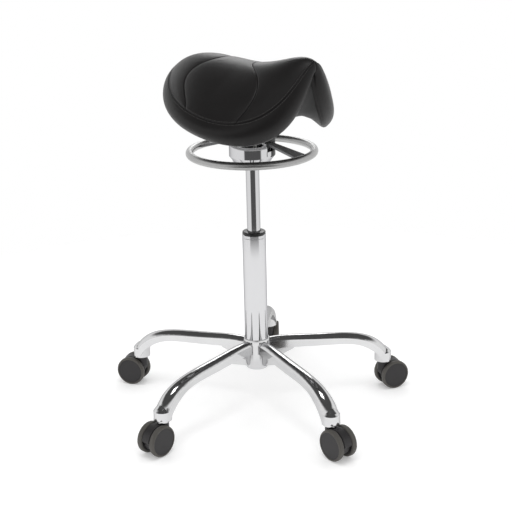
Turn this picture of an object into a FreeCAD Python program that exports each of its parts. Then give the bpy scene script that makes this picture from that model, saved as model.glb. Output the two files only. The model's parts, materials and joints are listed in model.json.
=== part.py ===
import FreeCAD, Part
import math
import os
import re
import Sketcher

# Saddle stool, millimetres. Z is up and the swivel axis is the Z axis, with the floor at
# z = 0. The saddle's narrow front points along -Y and its broad rear along +Y.

SIZES = {
    # cast star base
    "arm_reach": 289.0, "arm_first": 38.25, "arm_count": 5,
    "hub_radius": 29.0, "hub_foot": 26.5, "hub_bottom": 94.0, "hub_step": 112.0,
    "hub_top": 154.0, "hub_chamfer": 3.0,
    "root_at": 20.0, "root_height": 149.8, "root_tilt": 0.5, "root_half": 12.5,
    "root_deep": 27.0,
    "inner_at": 100.0, "inner_height": 149.5, "inner_tilt": 2.5, "inner_half": 13.0,
    "inner_deep": 24.5,
    "middle_at": 185.0, "middle_height": 143.5, "middle_tilt": 7.5, "middle_half": 14.0,
    "middle_deep": 22.5,
    "outer_at": 240.0, "outer_height": 134.5, "outer_tilt": 16.0, "outer_half": 15.5,
    "outer_deep": 23.0,
    "bend_at": 273.0, "bend_height": 119.5, "bend_tilt": 36.0, "bend_half": 17.2,
    "bend_deep": 25.5,
    "knee_at": 299.0, "knee_height": 92.0, "knee_tilt": 68.0, "knee_half": 18.3,
    "knee_deep": 25.0,
    "foot_at": 307.5, "foot_height": 67.3, "foot_tilt": 90.0, "foot_half": 18.5,
    "foot_deep": 22.0,
    "crown_rise": 0.62, "casting_wall": 3.5,
    "socket_radius": 18.5, "socket_bottom": 67.3, "socket_shoulder": 88.0,
    "socket_dome": 100.0, "dome_flat": 7.0, "dome_break": 4.0, "socket_depth": 27.0,
    "gusset_reach": 84.0, "gusset_half": 2.0, "gusset_foot": 97.0, "gusset_rise": 22.0,
    # column
    "tube_radius": 25.0, "tube_wall": 2.0, "tube_bottom": 86.0, "tube_top": 384.0,
    "taper_radius": 23.4, "floor_thick": 4.0, "fit": 0.05,
    "bush_bottom": 318.0, "bush_collar": 24.5, "bush_top": 400.0, "bush_edge": 392.0,
    "bush_nose": 17.5,
    "bearing_radius": 14.0, "bearing_top": 96.0, "race_thick": 1.6,
    "rod_radius": 5.0, "rod_bottom": 82.0, "rod_top": 340.0, "shoulder_radius": 9.0,
    "shoulder_thick": 2.2, "buffer_radius": 13.0, "buffer_top": 109.0,
    "clip_radius": 8.5, "clip_thick": 1.2, "clip_drop": 1.6,
    "piston_radius": 11.9, "piston_bottom": 326.0, "piston_top": 337.0,
    "cylinder_radius": 14.0, "cylinder_bore": 12.0, "cylinder_bottom": 248.0,
    "cylinder_top": 600.0, "cone_start": 552.0, "cone_radius": 13.3, "head_thick": 15.0,
    "lip_radius": 9.0, "lip_thick": 2.0, "gland_top": 262.0,
    # release mechanism under the seat
    "cup_radius": 47.5, "cup_foot": 34.0, "cup_bottom": 543.0, "cup_bevel": 560.0,
    "cup_top": 586.0, "cup_wall": 2.5, "cup_floor": 4.0, "boss_radius": 20.0,
    "slot_half": 12.0, "slot_bottom": 564.0, "slot_inner": 40.0,
    "lever_turn": 10.0, "pivot_back": 36.0, "pivot_height": 577.0, "pivot_radius": 2.5,
    "lug_near": 9.2, "lug_far": 13.2, "lug_half": 5.0, "lug_top": 584.0,
    "knuckle_radius": 5.5, "knuckle_half": 8.8,
    "lever_inner": 23.6, "lever_outer": 30.0, "lever_half": 3.0,
    "bridge_near": 24.2, "bridge_far": 29.0, "bridge_half": 6.0,
    "bridge_bottom": 606.6, "bridge_top": 609.6,
    "pin_radius": 3.5, "pin_top": 606.1, "pin_head": 603.2, "pin_stem": 2.5,
    "pin_bottom": 587.0,
    "ring_centre": 129.0, "ring_tube": 8.0, "ring_height": 568.0,
    "spoke_root_half": 5.5, "spoke_root_thick": 7.0, "spoke_tip_half": 18.0,
    "spoke_tip_thick": 5.0, "spoke_gap": 0.2,
    "stop_half": 4.5, "stop_near": 41.0, "stop_far": 48.0, "stop_bottom": 580.6,
    "stop_top": 594.0,
    "post_place": 24.4, "post_radius": 4.0, "post_foot": 550.5, "post_boss": 6.0,
    "post_boss_top": 556.0, "plate_bottom": 640.0, "plate_thick": 3.5,
    "plate_half_x": 55.0, "plate_half_y": 66.0, "plate_corner": 14.0,
    "bolt_x": 40.0, "bolt_y": 50.0, "bolt_radius": 4.0, "bolt_hole": 4.3,
    "bolt_head": 6.5, "bolt_head_thick": 5.3, "bolt_top": 652.0,
    # castors
    "wheel_radius": 32.5, "tread_inner": 28.0, "wheel_near": 8.2, "wheel_far": 28.6,
    "rim_radius": 27.9, "disc_recess": 2.0, "axle_radius": 3.0, "axle_half": 26.0,
    "trail": 22.4, "stem_radius": 5.5, "stem_top": 91.0, "stem_bottom": 40.0,
    "collar_radius": 8.5, "collar_top": 67.0, "collar_bottom": 64.6,
    "web_half": 7.0, "hood_inner": 33.0, "hood_outer": 34.4, "hood_half": 24.0,
    "neck_radius": 12.5, "neck_bottom": 44.0, "neck_top": 64.4,
    "trail_1": 3.1, "trail_2": 4.9, "trail_3": 1.8, "trail_4": 7.0, "trail_5": 10.9,
    # saddle
    "leather": 1.6, "foam_gap": 0.4, "shell_thick": 10.0, "shell_lift": 3.2,
    "shell_reach": 0.9, "seat_flat": 640.5, "flat_half_x": 78.0, "flat_half_y": 94.0,
}

# The saddle's two edge lines, the sewn seam round the top and the lower rim of the border
# band. Each is a closed curve in an angle counted from the front: the first number is the
# mean, and the others are the sizes of its first, second, third and fourth harmonic.
SEAM_LENGTH = (5.0, 194.0, -18.5, -6.5)
SEAM_WIDTH = (0.0, 138.0, -9.0, -12.5)
SEAM_HEIGHT = (702.0, 6.0, 44.5, 12.0, 4.5)
RIM_LENGTH = (6.0, 189.0, -18.5, -8.5)
RIM_WIDTH = (0.0, 127.0, -23.0, -21.0)
RIM_HEIGHT = (661.0, 6.0, 47.0, 16.5, 9.5)
# The top's centre line: height at the dip, then the square, cubic and fourth-power rise
# for each 100 mm from it.
RIDGE = (753.3, 12.3, 4.3, -2.1)
# How round the top is across its width, from a sharp 0.3 at the front to a flat 1.7.
ROUND_FRONT = 0.29
ROUND_MIDDLE = 0.58
ROUND_REAR = 1.67
BAND_BULGE_SIDE = 14.4
BAND_BULGE_FRONT = 7.6

doc = FreeCAD.newDocument("saddle_stool")
sheet = doc.addObject("Spreadsheet::Sheet", "sizes")
for row, (alias, value) in enumerate(SIZES.items(), start=1):
    sheet.set("A%d" % row, alias)
    sheet.set("B%d" % row, str(value))
    sheet.setAlias("B%d" % row, alias)
doc.recompute()

V = FreeCAD.Vector
nodes = []


def size(alias):
    return float(getattr(sheet, alias))


def bound(text):
    """Turns the sheet's words in a formula into references to its cells."""
    return re.sub(r"[a-z][a-z_0-9]*", lambda m: "sizes." + m.group(0) if m.group(0) in SIZES
                  else m.group(0), text)


def keep(thing, label):
    thing.Label = label
    nodes.append(thing)
    return thing


def new_body(label):
    return keep(doc.addObject("PartDesign::Body", label), label)


def plane(body, role):
    return next(f for f in body.Origin.OriginFeatures if f.Role == role)


def new_sketch(body, role, lift=None):
    """A sketch on one of the body's own planes, lifted off it by a formula."""
    sketch = body.newObject("Sketcher::SketchObject", body.Name + "_sketch")
    sketch.AttachmentSupport = [(plane(body, role), "")]
    sketch.MapMode = "FlatFace"
    if lift:
        sketch.setExpression("AttachmentOffset.Base.z", bound(lift))
    return sketch


def pin_point(sketch, geometry, vertex, x, y, near=(1.0, 1.0)):
    """Fixes a point of the sketch at two formulas, or on an axis where one is 0."""
    for kind, axis, text, value in (("DistanceX", -2, x, near[0]), ("DistanceY", -1, y, near[1])):
        if text == "0":
            sketch.addConstraint(Sketcher.Constraint("PointOnObject", geometry, vertex, axis))
        else:
            index = sketch.addConstraint(
                Sketcher.Constraint(kind, -1, 1, geometry, vertex, value))
            sketch.setExpression("Constraints[%d]" % index, bound(text))


def outline(sketch, corners):
    """A closed outline of straight lines through corners given as pairs of formulas."""
    count = len(corners)
    start = sketch.GeometryCount
    spots = [V(math.cos(2 * math.pi * i / count), math.sin(2 * math.pi * i / count), 0)
             for i in range(count)]
    for i in range(count):
        sketch.addGeometry(Part.LineSegment(spots[i], spots[(i + 1) % count]), False)
    for i in range(count):
        following = start + (i + 1) % count
        sketch.addConstraint(Sketcher.Constraint("Coincident", start + i, 2, following, 1))
    for i, (x, y) in enumerate(corners):
        pin_point(sketch, start + i, 1, x, y)


def circle(sketch, x, y, radius):
    index = sketch.addGeometry(Part.Circle(V(1, 1, 0), V(0, 0, 1), 1.0), False)
    pin_point(sketch, index, 3, x, y)
    rule = sketch.addConstraint(Sketcher.Constraint("Radius", index, 1.0))
    sketch.setExpression("Constraints[%d]" % rule, bound(radius))


def rectangle(sketch, x0, x1, y0, y1):
    outline(sketch, [(x0, y0), (x1, y0), (x1, y1), (x0, y1)])


def feature(body, kind, sketch, **settings):
    made = body.newObject("PartDesign::" + kind, body.Name + "_" + kind.lower())
    made.Profile = sketch
    for name, value in settings.items():
        if isinstance(value, str) and name in ("Length", "Angle"):
            made.setExpression(name, bound(value))
        else:
            setattr(made, name, value)
    return made


def turn(body, corners, cut=False):
    """Revolves an outline of (radius, height) corners about the body's Z axis."""
    sketch = new_sketch(body, "XZ_Plane")
    outline(sketch, corners)
    kind = "Groove" if cut else "Revolution"
    return feature(body, kind, sketch, ReferenceAxis=(sketch, ["V_Axis"]), Angle=360.0)


def pad(body, draw, bottom, length, role="XY_Plane", both=False):
    sketch = new_sketch(body, role, bottom)
    draw(sketch)
    made = feature(body, "Pad", sketch, Length=length)
    if both:
        made.SideType = "Symmetric"
    return made


def pocket(body, draw, top, length, role="XY_Plane", both=False):
    sketch = new_sketch(body, role, top)
    draw(sketch)
    made = feature(body, "Pocket", sketch, Length=length)
    if both:
        made.SideType = "Symmetric"
    return made


def turned_piece(label, corners):
    body = new_body(label)
    turn(body, corners)
    return body


# Star base: an arched arm, hollow underneath, that bends down into an upright castor socket.

STATIONS = ("root", "inner", "middle", "outer", "bend", "knee", "foot")


def arm_section(body, station, inset="0", at=None):
    """An arched section whose crown is at the station, tilted to the arm's own slope."""
    sketch = body.newObject("Sketcher::SketchObject", body.Name + "_" + station)
    sketch.AttachmentSupport = [(plane(body, "YZ_Plane"), "")]
    sketch.MapMode = "FlatFace"
    sketch.AttachmentOffset = FreeCAD.Placement(V(0, 0, 0), FreeCAD.Rotation(V(1, 0, 0), 1.0))
    sketch.setExpression("AttachmentOffset.Base.z", bound(at or station + "_at"))
    sketch.setExpression("AttachmentOffset.Base.y", bound(station + "_height"))
    sketch.setExpression("AttachmentOffset.Rotation.Angle", bound(station + "_tilt"))
    wall = size(inset) if inset in SIZES else 0.0
    half = size(station + "_half") - wall
    spring = -wall - half * size("crown_rise")
    base = -size(station + "_deep") - wall
    radius = (half ** 2 + (half * size("crown_rise")) ** 2) / (2 * half * size("crown_rise"))
    corners = [V(-half, base, 0), V(half, base, 0), V(half, spring, 0), V(-half, spring, 0)]
    for start, end in ((3, 0), (0, 1), (1, 2)):
        sketch.addGeometry(Part.LineSegment(corners[start], corners[end]), False)
    spread = math.asin(half / radius)
    middle = V(0, -wall - radius, 0)
    sketch.addGeometry(Part.ArcOfCircle(Part.Circle(middle, V(0, 0, 1), radius),
                                        math.pi / 2 - spread, math.pi / 2 + spread), False)
    sketch.addConstraint([Sketcher.Constraint("Coincident", 0, 2, 1, 1),
                          Sketcher.Constraint("Coincident", 1, 2, 2, 1),
                          Sketcher.Constraint("Coincident", 2, 2, 3, 1),
                          Sketcher.Constraint("Coincident", 3, 2, 0, 1)])
    half_text = "(%s_half - %s)" % (station, inset)
    spring_text = "0 - %s - crown_rise * %s" % (inset, half_text)
    base_text = "0 - %s_deep - %s" % (station, inset)
    pin_point(sketch, 0, 1, "0 - " + half_text, spring_text, (-half, spring))
    pin_point(sketch, 1, 1, "0 - " + half_text, base_text, (-half, base))
    pin_point(sketch, 2, 1, half_text, base_text, (half, base))
    pin_point(sketch, 3, 1, half_text, spring_text, (half, spring))
    index = sketch.addConstraint(Sketcher.Constraint("Radius", 3, radius))
    sketch.setExpression("Constraints[%d]" % index,
                         bound("%s * (1 + crown_rise ^ 2) / (2 * crown_rise)" % half_text))
    return sketch


def make_star_base():
    body = new_body("star_base")
    turn(body, [("0", "hub_bottom"), ("hub_foot", "hub_bottom"), ("hub_radius", "hub_step"),
                ("hub_radius", "hub_top - hub_chamfer"),
                ("hub_radius - hub_chamfer / 2", "hub_top"), ("0", "hub_top")])
    sections = [arm_section(body, station) for station in STATIONS]
    arm = body.newObject("PartDesign::AdditiveLoft", "arm")
    arm.Profile = sections[0]
    arm.Sections = sections[1:]

    socket_sketch = new_sketch(body, "XZ_Plane")
    socket_sketch.setExpression("AttachmentOffset.Base.x", bound("arm_reach"))
    outline(socket_sketch, [("0", "socket_bottom"), ("socket_radius", "socket_bottom"),
                            ("socket_radius", "socket_shoulder"),
                            ("socket_radius - dome_break", "socket_dome - dome_flat"),
                            ("dome_flat", "socket_dome"), ("0", "socket_dome")])
    socket = feature(body, "Revolution", socket_sketch,
                     ReferenceAxis=(socket_sketch, ["V_Axis"]), Angle=360.0)

    channel = body.newObject("PartDesign::SubtractiveLoft", "channel")
    channel.Profile = arm_section(body, "root", "casting_wall", "hub_radius + casting_wall")
    channel.Sections = [arm_section(body, station, "casting_wall") for station in STATIONS[1:4]]

    gusset_sketch = new_sketch(body, "XZ_Plane")
    under_roof = "inner_height - casting_wall / 2"
    outline(gusset_sketch, [("hub_radius - casting_wall", "gusset_foot"),
                            ("hub_radius + casting_wall", "gusset_foot"),
                            ("gusset_reach", "gusset_foot + gusset_rise"),
                            ("gusset_reach", under_roof),
                            ("hub_radius - casting_wall", "root_height - casting_wall / 2")])
    gusset = feature(body, "Pad", gusset_sketch, Length="gusset_half * 2")
    gusset.SideType = "Symmetric"

    bore_sketch = new_sketch(body, "XZ_Plane")
    bore_sketch.setExpression("AttachmentOffset.Base.x", bound("arm_reach"))
    outline(bore_sketch, [("0", "socket_bottom - fit"), ("stem_radius + fit", "socket_bottom - fit"),
                          ("stem_radius + fit", "socket_bottom + socket_depth"),
                          ("0", "socket_bottom + socket_depth")])
    bore = feature(body, "Groove", bore_sketch, ReferenceAxis=(bore_sketch, ["V_Axis"]),
                   Angle=360.0)

    pattern = body.newObject("PartDesign::PolarPattern", "five_arms")
    pattern.Originals = [arm, socket, channel, gusset, bore]
    pattern.Axis = (plane(body, "Z_Axis"), [""])
    pattern.Angle = 360.0
    pattern.setExpression("Occurrences", bound("arm_count"))
    body.Tip = pattern
    turn(body, [("0", "tube_bottom - fit"), ("taper_radius + fit", "tube_bottom - fit"),
                ("tube_radius + fit", "hub_top"), ("tube_radius + fit", "hub_top + fit"),
                ("0", "hub_top + fit")], cut=True)
    body.Placement = FreeCAD.Placement(V(0, 0, 0), FreeCAD.Rotation(V(0, 0, 1), size("arm_first")))
    return body


# Column: an outer tube, the guide bush in its mouth, and a gas spring on a turning rod.

def make_column():
    inner = "tube_radius - tube_wall"
    turned_piece("outer_tube", [
        ("taper_radius", "tube_bottom"), ("tube_radius", "hub_top"),
        ("tube_radius", "tube_top - tube_wall / 2"), ("tube_radius - tube_wall / 2", "tube_top"),
        (inner, "tube_top"), (inner, "hub_top"), ("taper_radius - tube_wall", "tube_bottom")])
    turned_piece("tube_floor", [
        ("rod_radius + fit", "tube_bottom"), ("taper_radius - tube_wall - fit", "tube_bottom"),
        ("taper_radius - tube_wall - fit", "tube_bottom + floor_thick"),
        ("rod_radius + fit", "tube_bottom + floor_thick")])
    turned_piece("thrust_bearing", [
        ("rod_radius + fit", "tube_bottom + floor_thick + fit"),
        ("bearing_radius", "tube_bottom + floor_thick + fit"),
        ("bearing_radius", "tube_bottom + floor_thick + race_thick"),
        ("bearing_radius - race_thick", "tube_bottom + floor_thick + race_thick"),
        ("bearing_radius - race_thick", "bearing_top - race_thick"),
        ("bearing_radius", "bearing_top - race_thick"), ("bearing_radius", "bearing_top"),
        ("rod_radius + fit", "bearing_top")])
    turned_piece("guide_bushing", [
        ("cylinder_radius + fit", "bush_bottom"), (inner + " - fit", "bush_bottom"),
        (inner + " - fit", "tube_top + fit"), ("bush_collar", "tube_top + fit"),
        ("bush_collar", "bush_edge"), ("bush_nose", "bush_top"),
        ("cylinder_radius + fit", "bush_top")])
    shoulder = "bearing_top + shoulder_thick"
    turned_piece("piston_rod", [
        ("0", "rod_bottom"), ("rod_radius - 1", "rod_bottom"),
        ("rod_radius - 1", "tube_bottom - clip_drop + clip_thick + fit"),
        ("rod_radius", "tube_bottom - clip_drop + clip_thick + fit"),
        ("rod_radius", "bearing_top + 2 * fit"), ("shoulder_radius", "bearing_top + 2 * fit"),
        ("shoulder_radius", shoulder), ("rod_radius", shoulder), ("rod_radius", "rod_top"),
        ("0", "rod_top")])
    turned_piece("rubber_buffer", [
        ("rod_radius + fit", shoulder + " + fit"), ("buffer_radius", shoulder + " + fit"),
        ("buffer_radius - 2", "buffer_top"), ("rod_radius + fit", "buffer_top")])
    clip = new_body("rod_clip")
    pad(clip, lambda s: (circle(s, "0", "0", "clip_radius"),
                         circle(s, "0", "0", "rod_radius - 1 + fit")),
        "tube_bottom - clip_drop", "clip_thick")
    pocket(clip, lambda s: rectangle(s, "0", "clip_radius + 1", "0 - rod_radius / 2",
                                     "rod_radius / 2"), "tube_bottom", "clip_drop * 2")
    turned_piece("piston", [
        ("rod_radius + fit", "piston_bottom"), ("piston_radius", "piston_bottom"),
        ("piston_radius", "piston_top"), ("rod_radius + fit", "piston_top")])
    turned_piece("gas_cylinder", [
        ("lip_radius", "cylinder_bottom"), ("cylinder_radius - 1", "cylinder_bottom"),
        ("cylinder_radius", "cylinder_bottom + 1"), ("cylinder_radius", "cone_start"),
        ("cone_radius", "cylinder_top"), ("pin_stem + fit", "cylinder_top"),
        ("pin_stem + fit", "cylinder_top - head_thick"),
        ("cylinder_bore", "cylinder_top - head_thick"),
        ("cylinder_bore", "cylinder_bottom + lip_thick"),
        ("lip_radius", "cylinder_bottom + lip_thick")])
    turned_piece("rod_gland", [
        ("rod_radius + fit", "cylinder_bottom + lip_thick + fit"),
        ("cylinder_bore - fit", "cylinder_bottom + lip_thick + fit"),
        ("cylinder_bore - fit", "gland_top"), ("rod_radius + fit", "gland_top")])
    turned_piece("valve_pin", [
        ("0", "pin_bottom"), ("pin_stem", "pin_bottom"), ("pin_stem", "pin_head"),
        ("pin_radius", "pin_head"), ("pin_radius", "pin_top - 1"),
        ("pin_radius - 1", "pin_top"), ("0", "pin_top")])


# Release mechanism: a chrome cup with a taper boss, and a ring lever pivoted behind it.

def turned_by_lever(body):
    body.Placement = FreeCAD.Placement(V(0, 0, 0), FreeCAD.Rotation(V(0, 0, 1), size("lever_turn")))


def make_mechanism():
    cup = new_body("housing_cup")
    wall = "cup_radius - cup_wall"
    floor = "cup_bottom + cup_floor"
    turn(cup, [("cylinder_radius + fit", "cup_bottom"), ("cup_foot", "cup_bottom"),
               ("cup_radius", "cup_bevel"), ("cup_radius", "cup_top"), (wall, "cup_top"),
               (wall, "cup_bevel + cup_wall / 2"), ("cup_foot - cup_wall / 2", floor),
               ("boss_radius", floor), ("boss_radius", "cylinder_top - 1"),
               ("boss_radius - 1", "cylinder_top"), ("cone_radius + fit", "cylinder_top"),
               ("cylinder_radius + fit", "cone_start")])

    def slots(s):
        rectangle(s, "0 - slot_half", "slot_half", "slot_inner", "cup_radius + 1")
        rectangle(s, "0 - slot_half", "slot_half", "0 - cup_radius - 1", "0 - slot_inner")

    pocket(cup, slots, "cup_top + 1", "cup_top + 1 - slot_bottom")

    def lugs(s):
        rectangle(s, "lug_near", "lug_far", "pivot_back - lug_half", "pivot_back + lug_half")
        rectangle(s, "0 - lug_far", "0 - lug_near", "pivot_back - lug_half",
                  "pivot_back + lug_half")

    pad(cup, lugs, floor + " - 1", "lug_top - cup_bottom - cup_floor + 1")

    def at_posts(s, radius):
        for x in ("0 - post_place", "post_place"):
            for y in ("0 - post_place", "post_place"):
                circle(s, x, y, radius)

    pad(cup, lambda s: at_posts(s, "post_boss"), floor + " - 1",
        "post_boss_top - cup_bottom - cup_floor + 1")
    pocket(cup, lambda s: at_posts(s, "post_radius + fit"), "post_boss_top + 1",
           "post_boss_top + 1 - post_foot + fit")
    pocket(cup, lambda s: circle(s, "pivot_back", "pivot_height", "pivot_radius + fit"),
           "0 - lug_far - 1", "lug_far * 2 + 2", role="YZ_Plane").Reversed = True
    turned_by_lever(cup)

    pivot = new_body("lever_pivot_pin")
    pad(pivot, lambda s: circle(s, "pivot_back", "pivot_height", "pivot_radius"),
        None, "lug_far * 2 + 2", role="YZ_Plane", both=True)
    turned_by_lever(pivot)

    hub = new_body("lever_hub")
    pad(hub, lambda s: (circle(s, "0", "0", "lever_outer"), circle(s, "0", "0", "lever_inner")),
        "pivot_height - lever_half", "lever_half * 2")
    pad(hub, lambda s: rectangle(s, "0 - knuckle_half", "knuckle_half", "lever_inner + 1",
                                 "pivot_back"), "pivot_height - lever_half", "lever_half * 2")
    pad(hub, lambda s: circle(s, "pivot_back", "pivot_height", "knuckle_radius"),
        None, "knuckle_half * 2", role="YZ_Plane", both=True)

    def legs(s):
        rectangle(s, "bridge_near", "bridge_far", "0 - bridge_half", "bridge_half")
        rectangle(s, "0 - bridge_far", "0 - bridge_near", "0 - bridge_half", "bridge_half")

    pad(hub, legs, "pivot_height", "bridge_top - pivot_height")
    pad(hub, lambda s: rectangle(s, "0 - bridge_far", "bridge_far", "0 - bridge_half",
                                 "bridge_half"), "bridge_bottom", "bridge_top - bridge_bottom")
    pocket(hub, lambda s: circle(s, "pivot_back", "pivot_height", "pivot_radius + fit"),
           None, "knuckle_half * 2 + 2", role="YZ_Plane", both=True)
    turned_by_lever(hub)

    for label, side in (("front_spoke", "0 - "), ("rear_spoke", "")):
        make_spoke(label, side)

    ring = keep(doc.addObject("Part::Torus", "release_ring"), "release_ring")
    ring.setExpression("Radius1", bound("ring_centre"))
    ring.setExpression("Radius2", bound("ring_tube"))
    ring.setExpression("Placement.Base.z", bound("ring_height"))

    stop = new_body("stop_block")
    pad(stop, lambda s: rectangle(s, "0 - stop_half", "stop_half", "0 - stop_far",
                                  "0 - stop_near"), "stop_bottom", "stop_top - stop_bottom")
    turned_by_lever(stop)

    posts = keep(doc.addObject("Part::MultiFuse", "standoff_posts"), "standoff_posts")
    shapes = []
    for x in (-1, 1):
        for y in (-1, 1):
            post = doc.addObject("Part::Cylinder", "post")
            post.setExpression("Radius", bound("post_radius"))
            post.setExpression("Height", bound("plate_bottom - post_foot - fit"))
            post.setExpression("Placement.Base.x", bound("post_place * %d" % x))
            post.setExpression("Placement.Base.y", bound("post_place * %d" % y))
            post.setExpression("Placement.Base.z", bound("post_foot"))
            shapes.append(post)
    posts.Shapes = shapes
    turned_by_lever(posts)


def make_spoke(label, side):
    """A flat bar that widens from the lever's hub to the ring, and ends along its curve."""
    body = new_body(label)

    def bar_section(at, half, height, thick):
        sketch = new_sketch(body, "XZ_Plane", at)
        rectangle(sketch, "0 - " + half, half, "%s - %s / 2" % (height, thick),
                  "%s + %s / 2" % (height, thick))
        return sketch

    outward = "0 - " if side == "" else ""
    start = "lever_outer + spoke_gap" if side else "pivot_back + knuckle_radius + spoke_gap"
    loft = body.newObject("PartDesign::AdditiveLoft", label + "_bar")
    loft.Profile = bar_section(outward + "(%s)" % start, "spoke_root_half", "pivot_height",
                               "spoke_root_thick")
    loft.Sections = [bar_section(outward + "ring_centre", "spoke_tip_half", "ring_height",
                                 "spoke_tip_thick")]
    pocket(body, lambda s: (circle(s, "0", "0", "ring_centre - ring_tube - spoke_gap"),
                            circle(s, "0", "0", "ring_centre + ring_tube")),
           "pivot_height + spoke_root_thick", "spoke_root_thick * 4")
    turned_by_lever(body)


def make_seat_plate():
    plate = new_body("seat_plate")
    slab = pad(plate, lambda s: rectangle(s, "0 - plate_half_x", "plate_half_x",
                                          "0 - plate_half_y", "plate_half_y"),
               "plate_bottom", "plate_thick")
    doc.recompute()
    corners = ["Edge%d" % (i + 1) for i, edge in enumerate(slab.Shape.Edges)
               if abs(edge.tangentAt(edge.FirstParameter).z) > 0.99]
    rounding = plate.newObject("PartDesign::Fillet", "plate_corners")
    rounding.Base = (slab, corners)
    rounding.setExpression("Radius", bound("plate_corner"))

    def holes(s):
        for x in ("0 - bolt_x", "bolt_x"):
            for y in ("0 - bolt_y", "bolt_y"):
                circle(s, x, y, "bolt_hole")

    pocket(plate, holes, "plate_bottom + plate_thick + 1", "plate_thick + 2")

    bolts = keep(doc.addObject("Part::MultiFuse", "seat_bolts"), "seat_bolts")
    shapes = []
    for x in (-1, 1):
        for y in (-1, 1):
            head = doc.addObject("Part::Prism", "bolt_head")
            head.Polygon = 6
            head.setExpression("Circumradius", bound("bolt_head"))
            head.setExpression("Height", bound("bolt_head_thick"))
            head.setExpression("Placement.Base.z", bound("plate_bottom - bolt_head_thick"))
            shank = doc.addObject("Part::Cylinder", "bolt_shank")
            shank.setExpression("Radius", bound("bolt_radius"))
            shank.setExpression("Height", bound("bolt_top - plate_bottom"))
            shank.setExpression("Placement.Base.z", bound("plate_bottom"))
            for piece in (head, shank):
                piece.setExpression("Placement.Base.x", bound("bolt_x * %d" % x))
                piece.setExpression("Placement.Base.y", bound("bolt_y * %d" % y))
                shapes.append(piece)
    bolts.Shapes = shapes


# Castors: a stem in the arm's socket, a hooded body that trails it, and two wheels.

def castor_piece(body, spot, heading):
    body.Placement = FreeCAD.Placement(V(*spot), FreeCAD.Rotation(V(0, 0, 1), heading))


def make_castor(number):
    arm = size("arm_first") + 72.0 * (number - 1)
    heading = arm + size("trail_%d" % number)
    reach = size("arm_reach")
    spot = (reach * math.cos(math.radians(arm)), reach * math.sin(math.radians(arm)), 0)
    name = "castor_%d_" % number

    stem = turned_piece(name + "stem", [
        ("0", "stem_bottom"), ("stem_radius", "stem_bottom"), ("stem_radius", "collar_bottom"),
        ("collar_radius", "collar_bottom"), ("collar_radius", "collar_top"),
        ("stem_radius", "collar_top"), ("stem_radius", "stem_top - 2"),
        ("stem_radius - 1", "stem_top"), ("0", "stem_top")])
    castor_piece(stem, spot, heading)

    hood = new_body(name + "hood")
    pad(hood, lambda s: circle(s, "trail", "wheel_radius", "hood_outer"),
        None, "hood_half * 2", role="XZ_Plane", both=True)
    pad(hood, lambda s: circle(s, "0", "0", "neck_radius"), "neck_bottom",
        "neck_top - neck_bottom")

    def wheel_space(s):
        circle(s, "trail", "wheel_radius", "hood_inner")

    for sign in ("", "0 - "):
        middle = sign + "(web_half / 2 + hood_half / 2 + 1)"
        pocket(hood, wheel_space, middle, "hood_half - web_half + 2", role="XZ_Plane", both=True)

    def below(s):
        outline(s, [("trail - hood_outer - 1", "0 - 6"), ("trail + hood_outer + 1", "0 - 6"),
                    ("trail + hood_outer + 1", "wheel_radius - 6"),
                    ("trail - hood_outer - 1", "wheel_radius + 6")])

    pocket(hood, below, None, "hood_half * 2 + 4", role="XZ_Plane", both=True)
    pad(hood, lambda s: circle(s, "trail", "wheel_radius", "hood_inner - 7"),
        None, "web_half * 2", role="XZ_Plane", both=True)
    pocket(hood, lambda s: circle(s, "trail", "wheel_radius", "axle_radius + fit"),
           None, "hood_half * 2 + 4", role="XZ_Plane", both=True)
    pocket(hood, lambda s: circle(s, "0", "0", "stem_radius + fit"), "neck_top + 1",
           "neck_top - stem_bottom + 1 + fit")
    castor_piece(hood, spot, heading)

    axle = new_body(name + "axle")
    pad(axle, lambda s: circle(s, "trail", "wheel_radius", "axle_radius"),
        None, "axle_half * 2", role="XZ_Plane", both=True)
    castor_piece(axle, spot, heading)

    for side, sign in (("left", 1), ("right", -1)):
        wheel = turned_piece(name + side + "_wheel", [
            ("axle_radius + fit", "wheel_near"), ("rim_radius", "wheel_near"),
            ("rim_radius", "wheel_far - 1"), ("rim_radius - 1", "wheel_far"),
            ("rim_radius - 5", "wheel_far"), ("rim_radius - 6", "wheel_far - disc_recess"),
            ("axle_radius + fit", "wheel_far - disc_recess")])
        tread = turned_piece(name + side + "_tread", [
            ("tread_inner", "wheel_near"), ("wheel_radius - 2", "wheel_near"),
            ("wheel_radius", "wheel_near + 3"), ("wheel_radius", "wheel_far - 3"),
            ("wheel_radius - 2", "wheel_far"), ("tread_inner", "wheel_far")])
        tilt = FreeCAD.Rotation(V(1, 0, 0), -90.0 * sign)
        place = FreeCAD.Placement(V(*spot), FreeCAD.Rotation(V(0, 0, 1), heading))
        hub = FreeCAD.Placement(V(size("trail"), 0, size("wheel_radius")), tilt)
        for piece in (wheel, tread):
            piece.Placement = place.multiply(hub)


# Saddle: a moulded shell, a foam cushion and a sewn leather cover, all from one form.

def harmonics(sizes, angle, wave):
    return sizes[0] + sum(part * wave(order * angle) for order, part in enumerate(sizes[1:], 1))


def edge_point(length, width, height, angle):
    """A point of an edge line as (forward, sideways, up)."""
    return V(harmonics(length, angle, math.cos), harmonics(width, angle, math.sin),
             harmonics(height, angle, math.cos))


def seam_point(angle):
    return edge_point(SEAM_LENGTH, SEAM_WIDTH, SEAM_HEIGHT, angle)


def rim_point(angle):
    return edge_point(RIM_LENGTH, RIM_WIDTH, RIM_HEIGHT, angle)


def ridge_height(forward):
    """Height of the top's centre line, bent down at both ends to meet the seam."""
    def rise(at):
        u = at / 100.0
        return RIDGE[0] + RIDGE[1] * u ** 2 + RIDGE[2] * u ** 3 + RIDGE[3] * u ** 4

    end = seam_point(0.0 if forward > 0 else math.pi)
    part = min(max(forward / end.x, 0.0), 1.0)
    return rise(forward) + (end.z - rise(end.x)) * part ** 6


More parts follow.
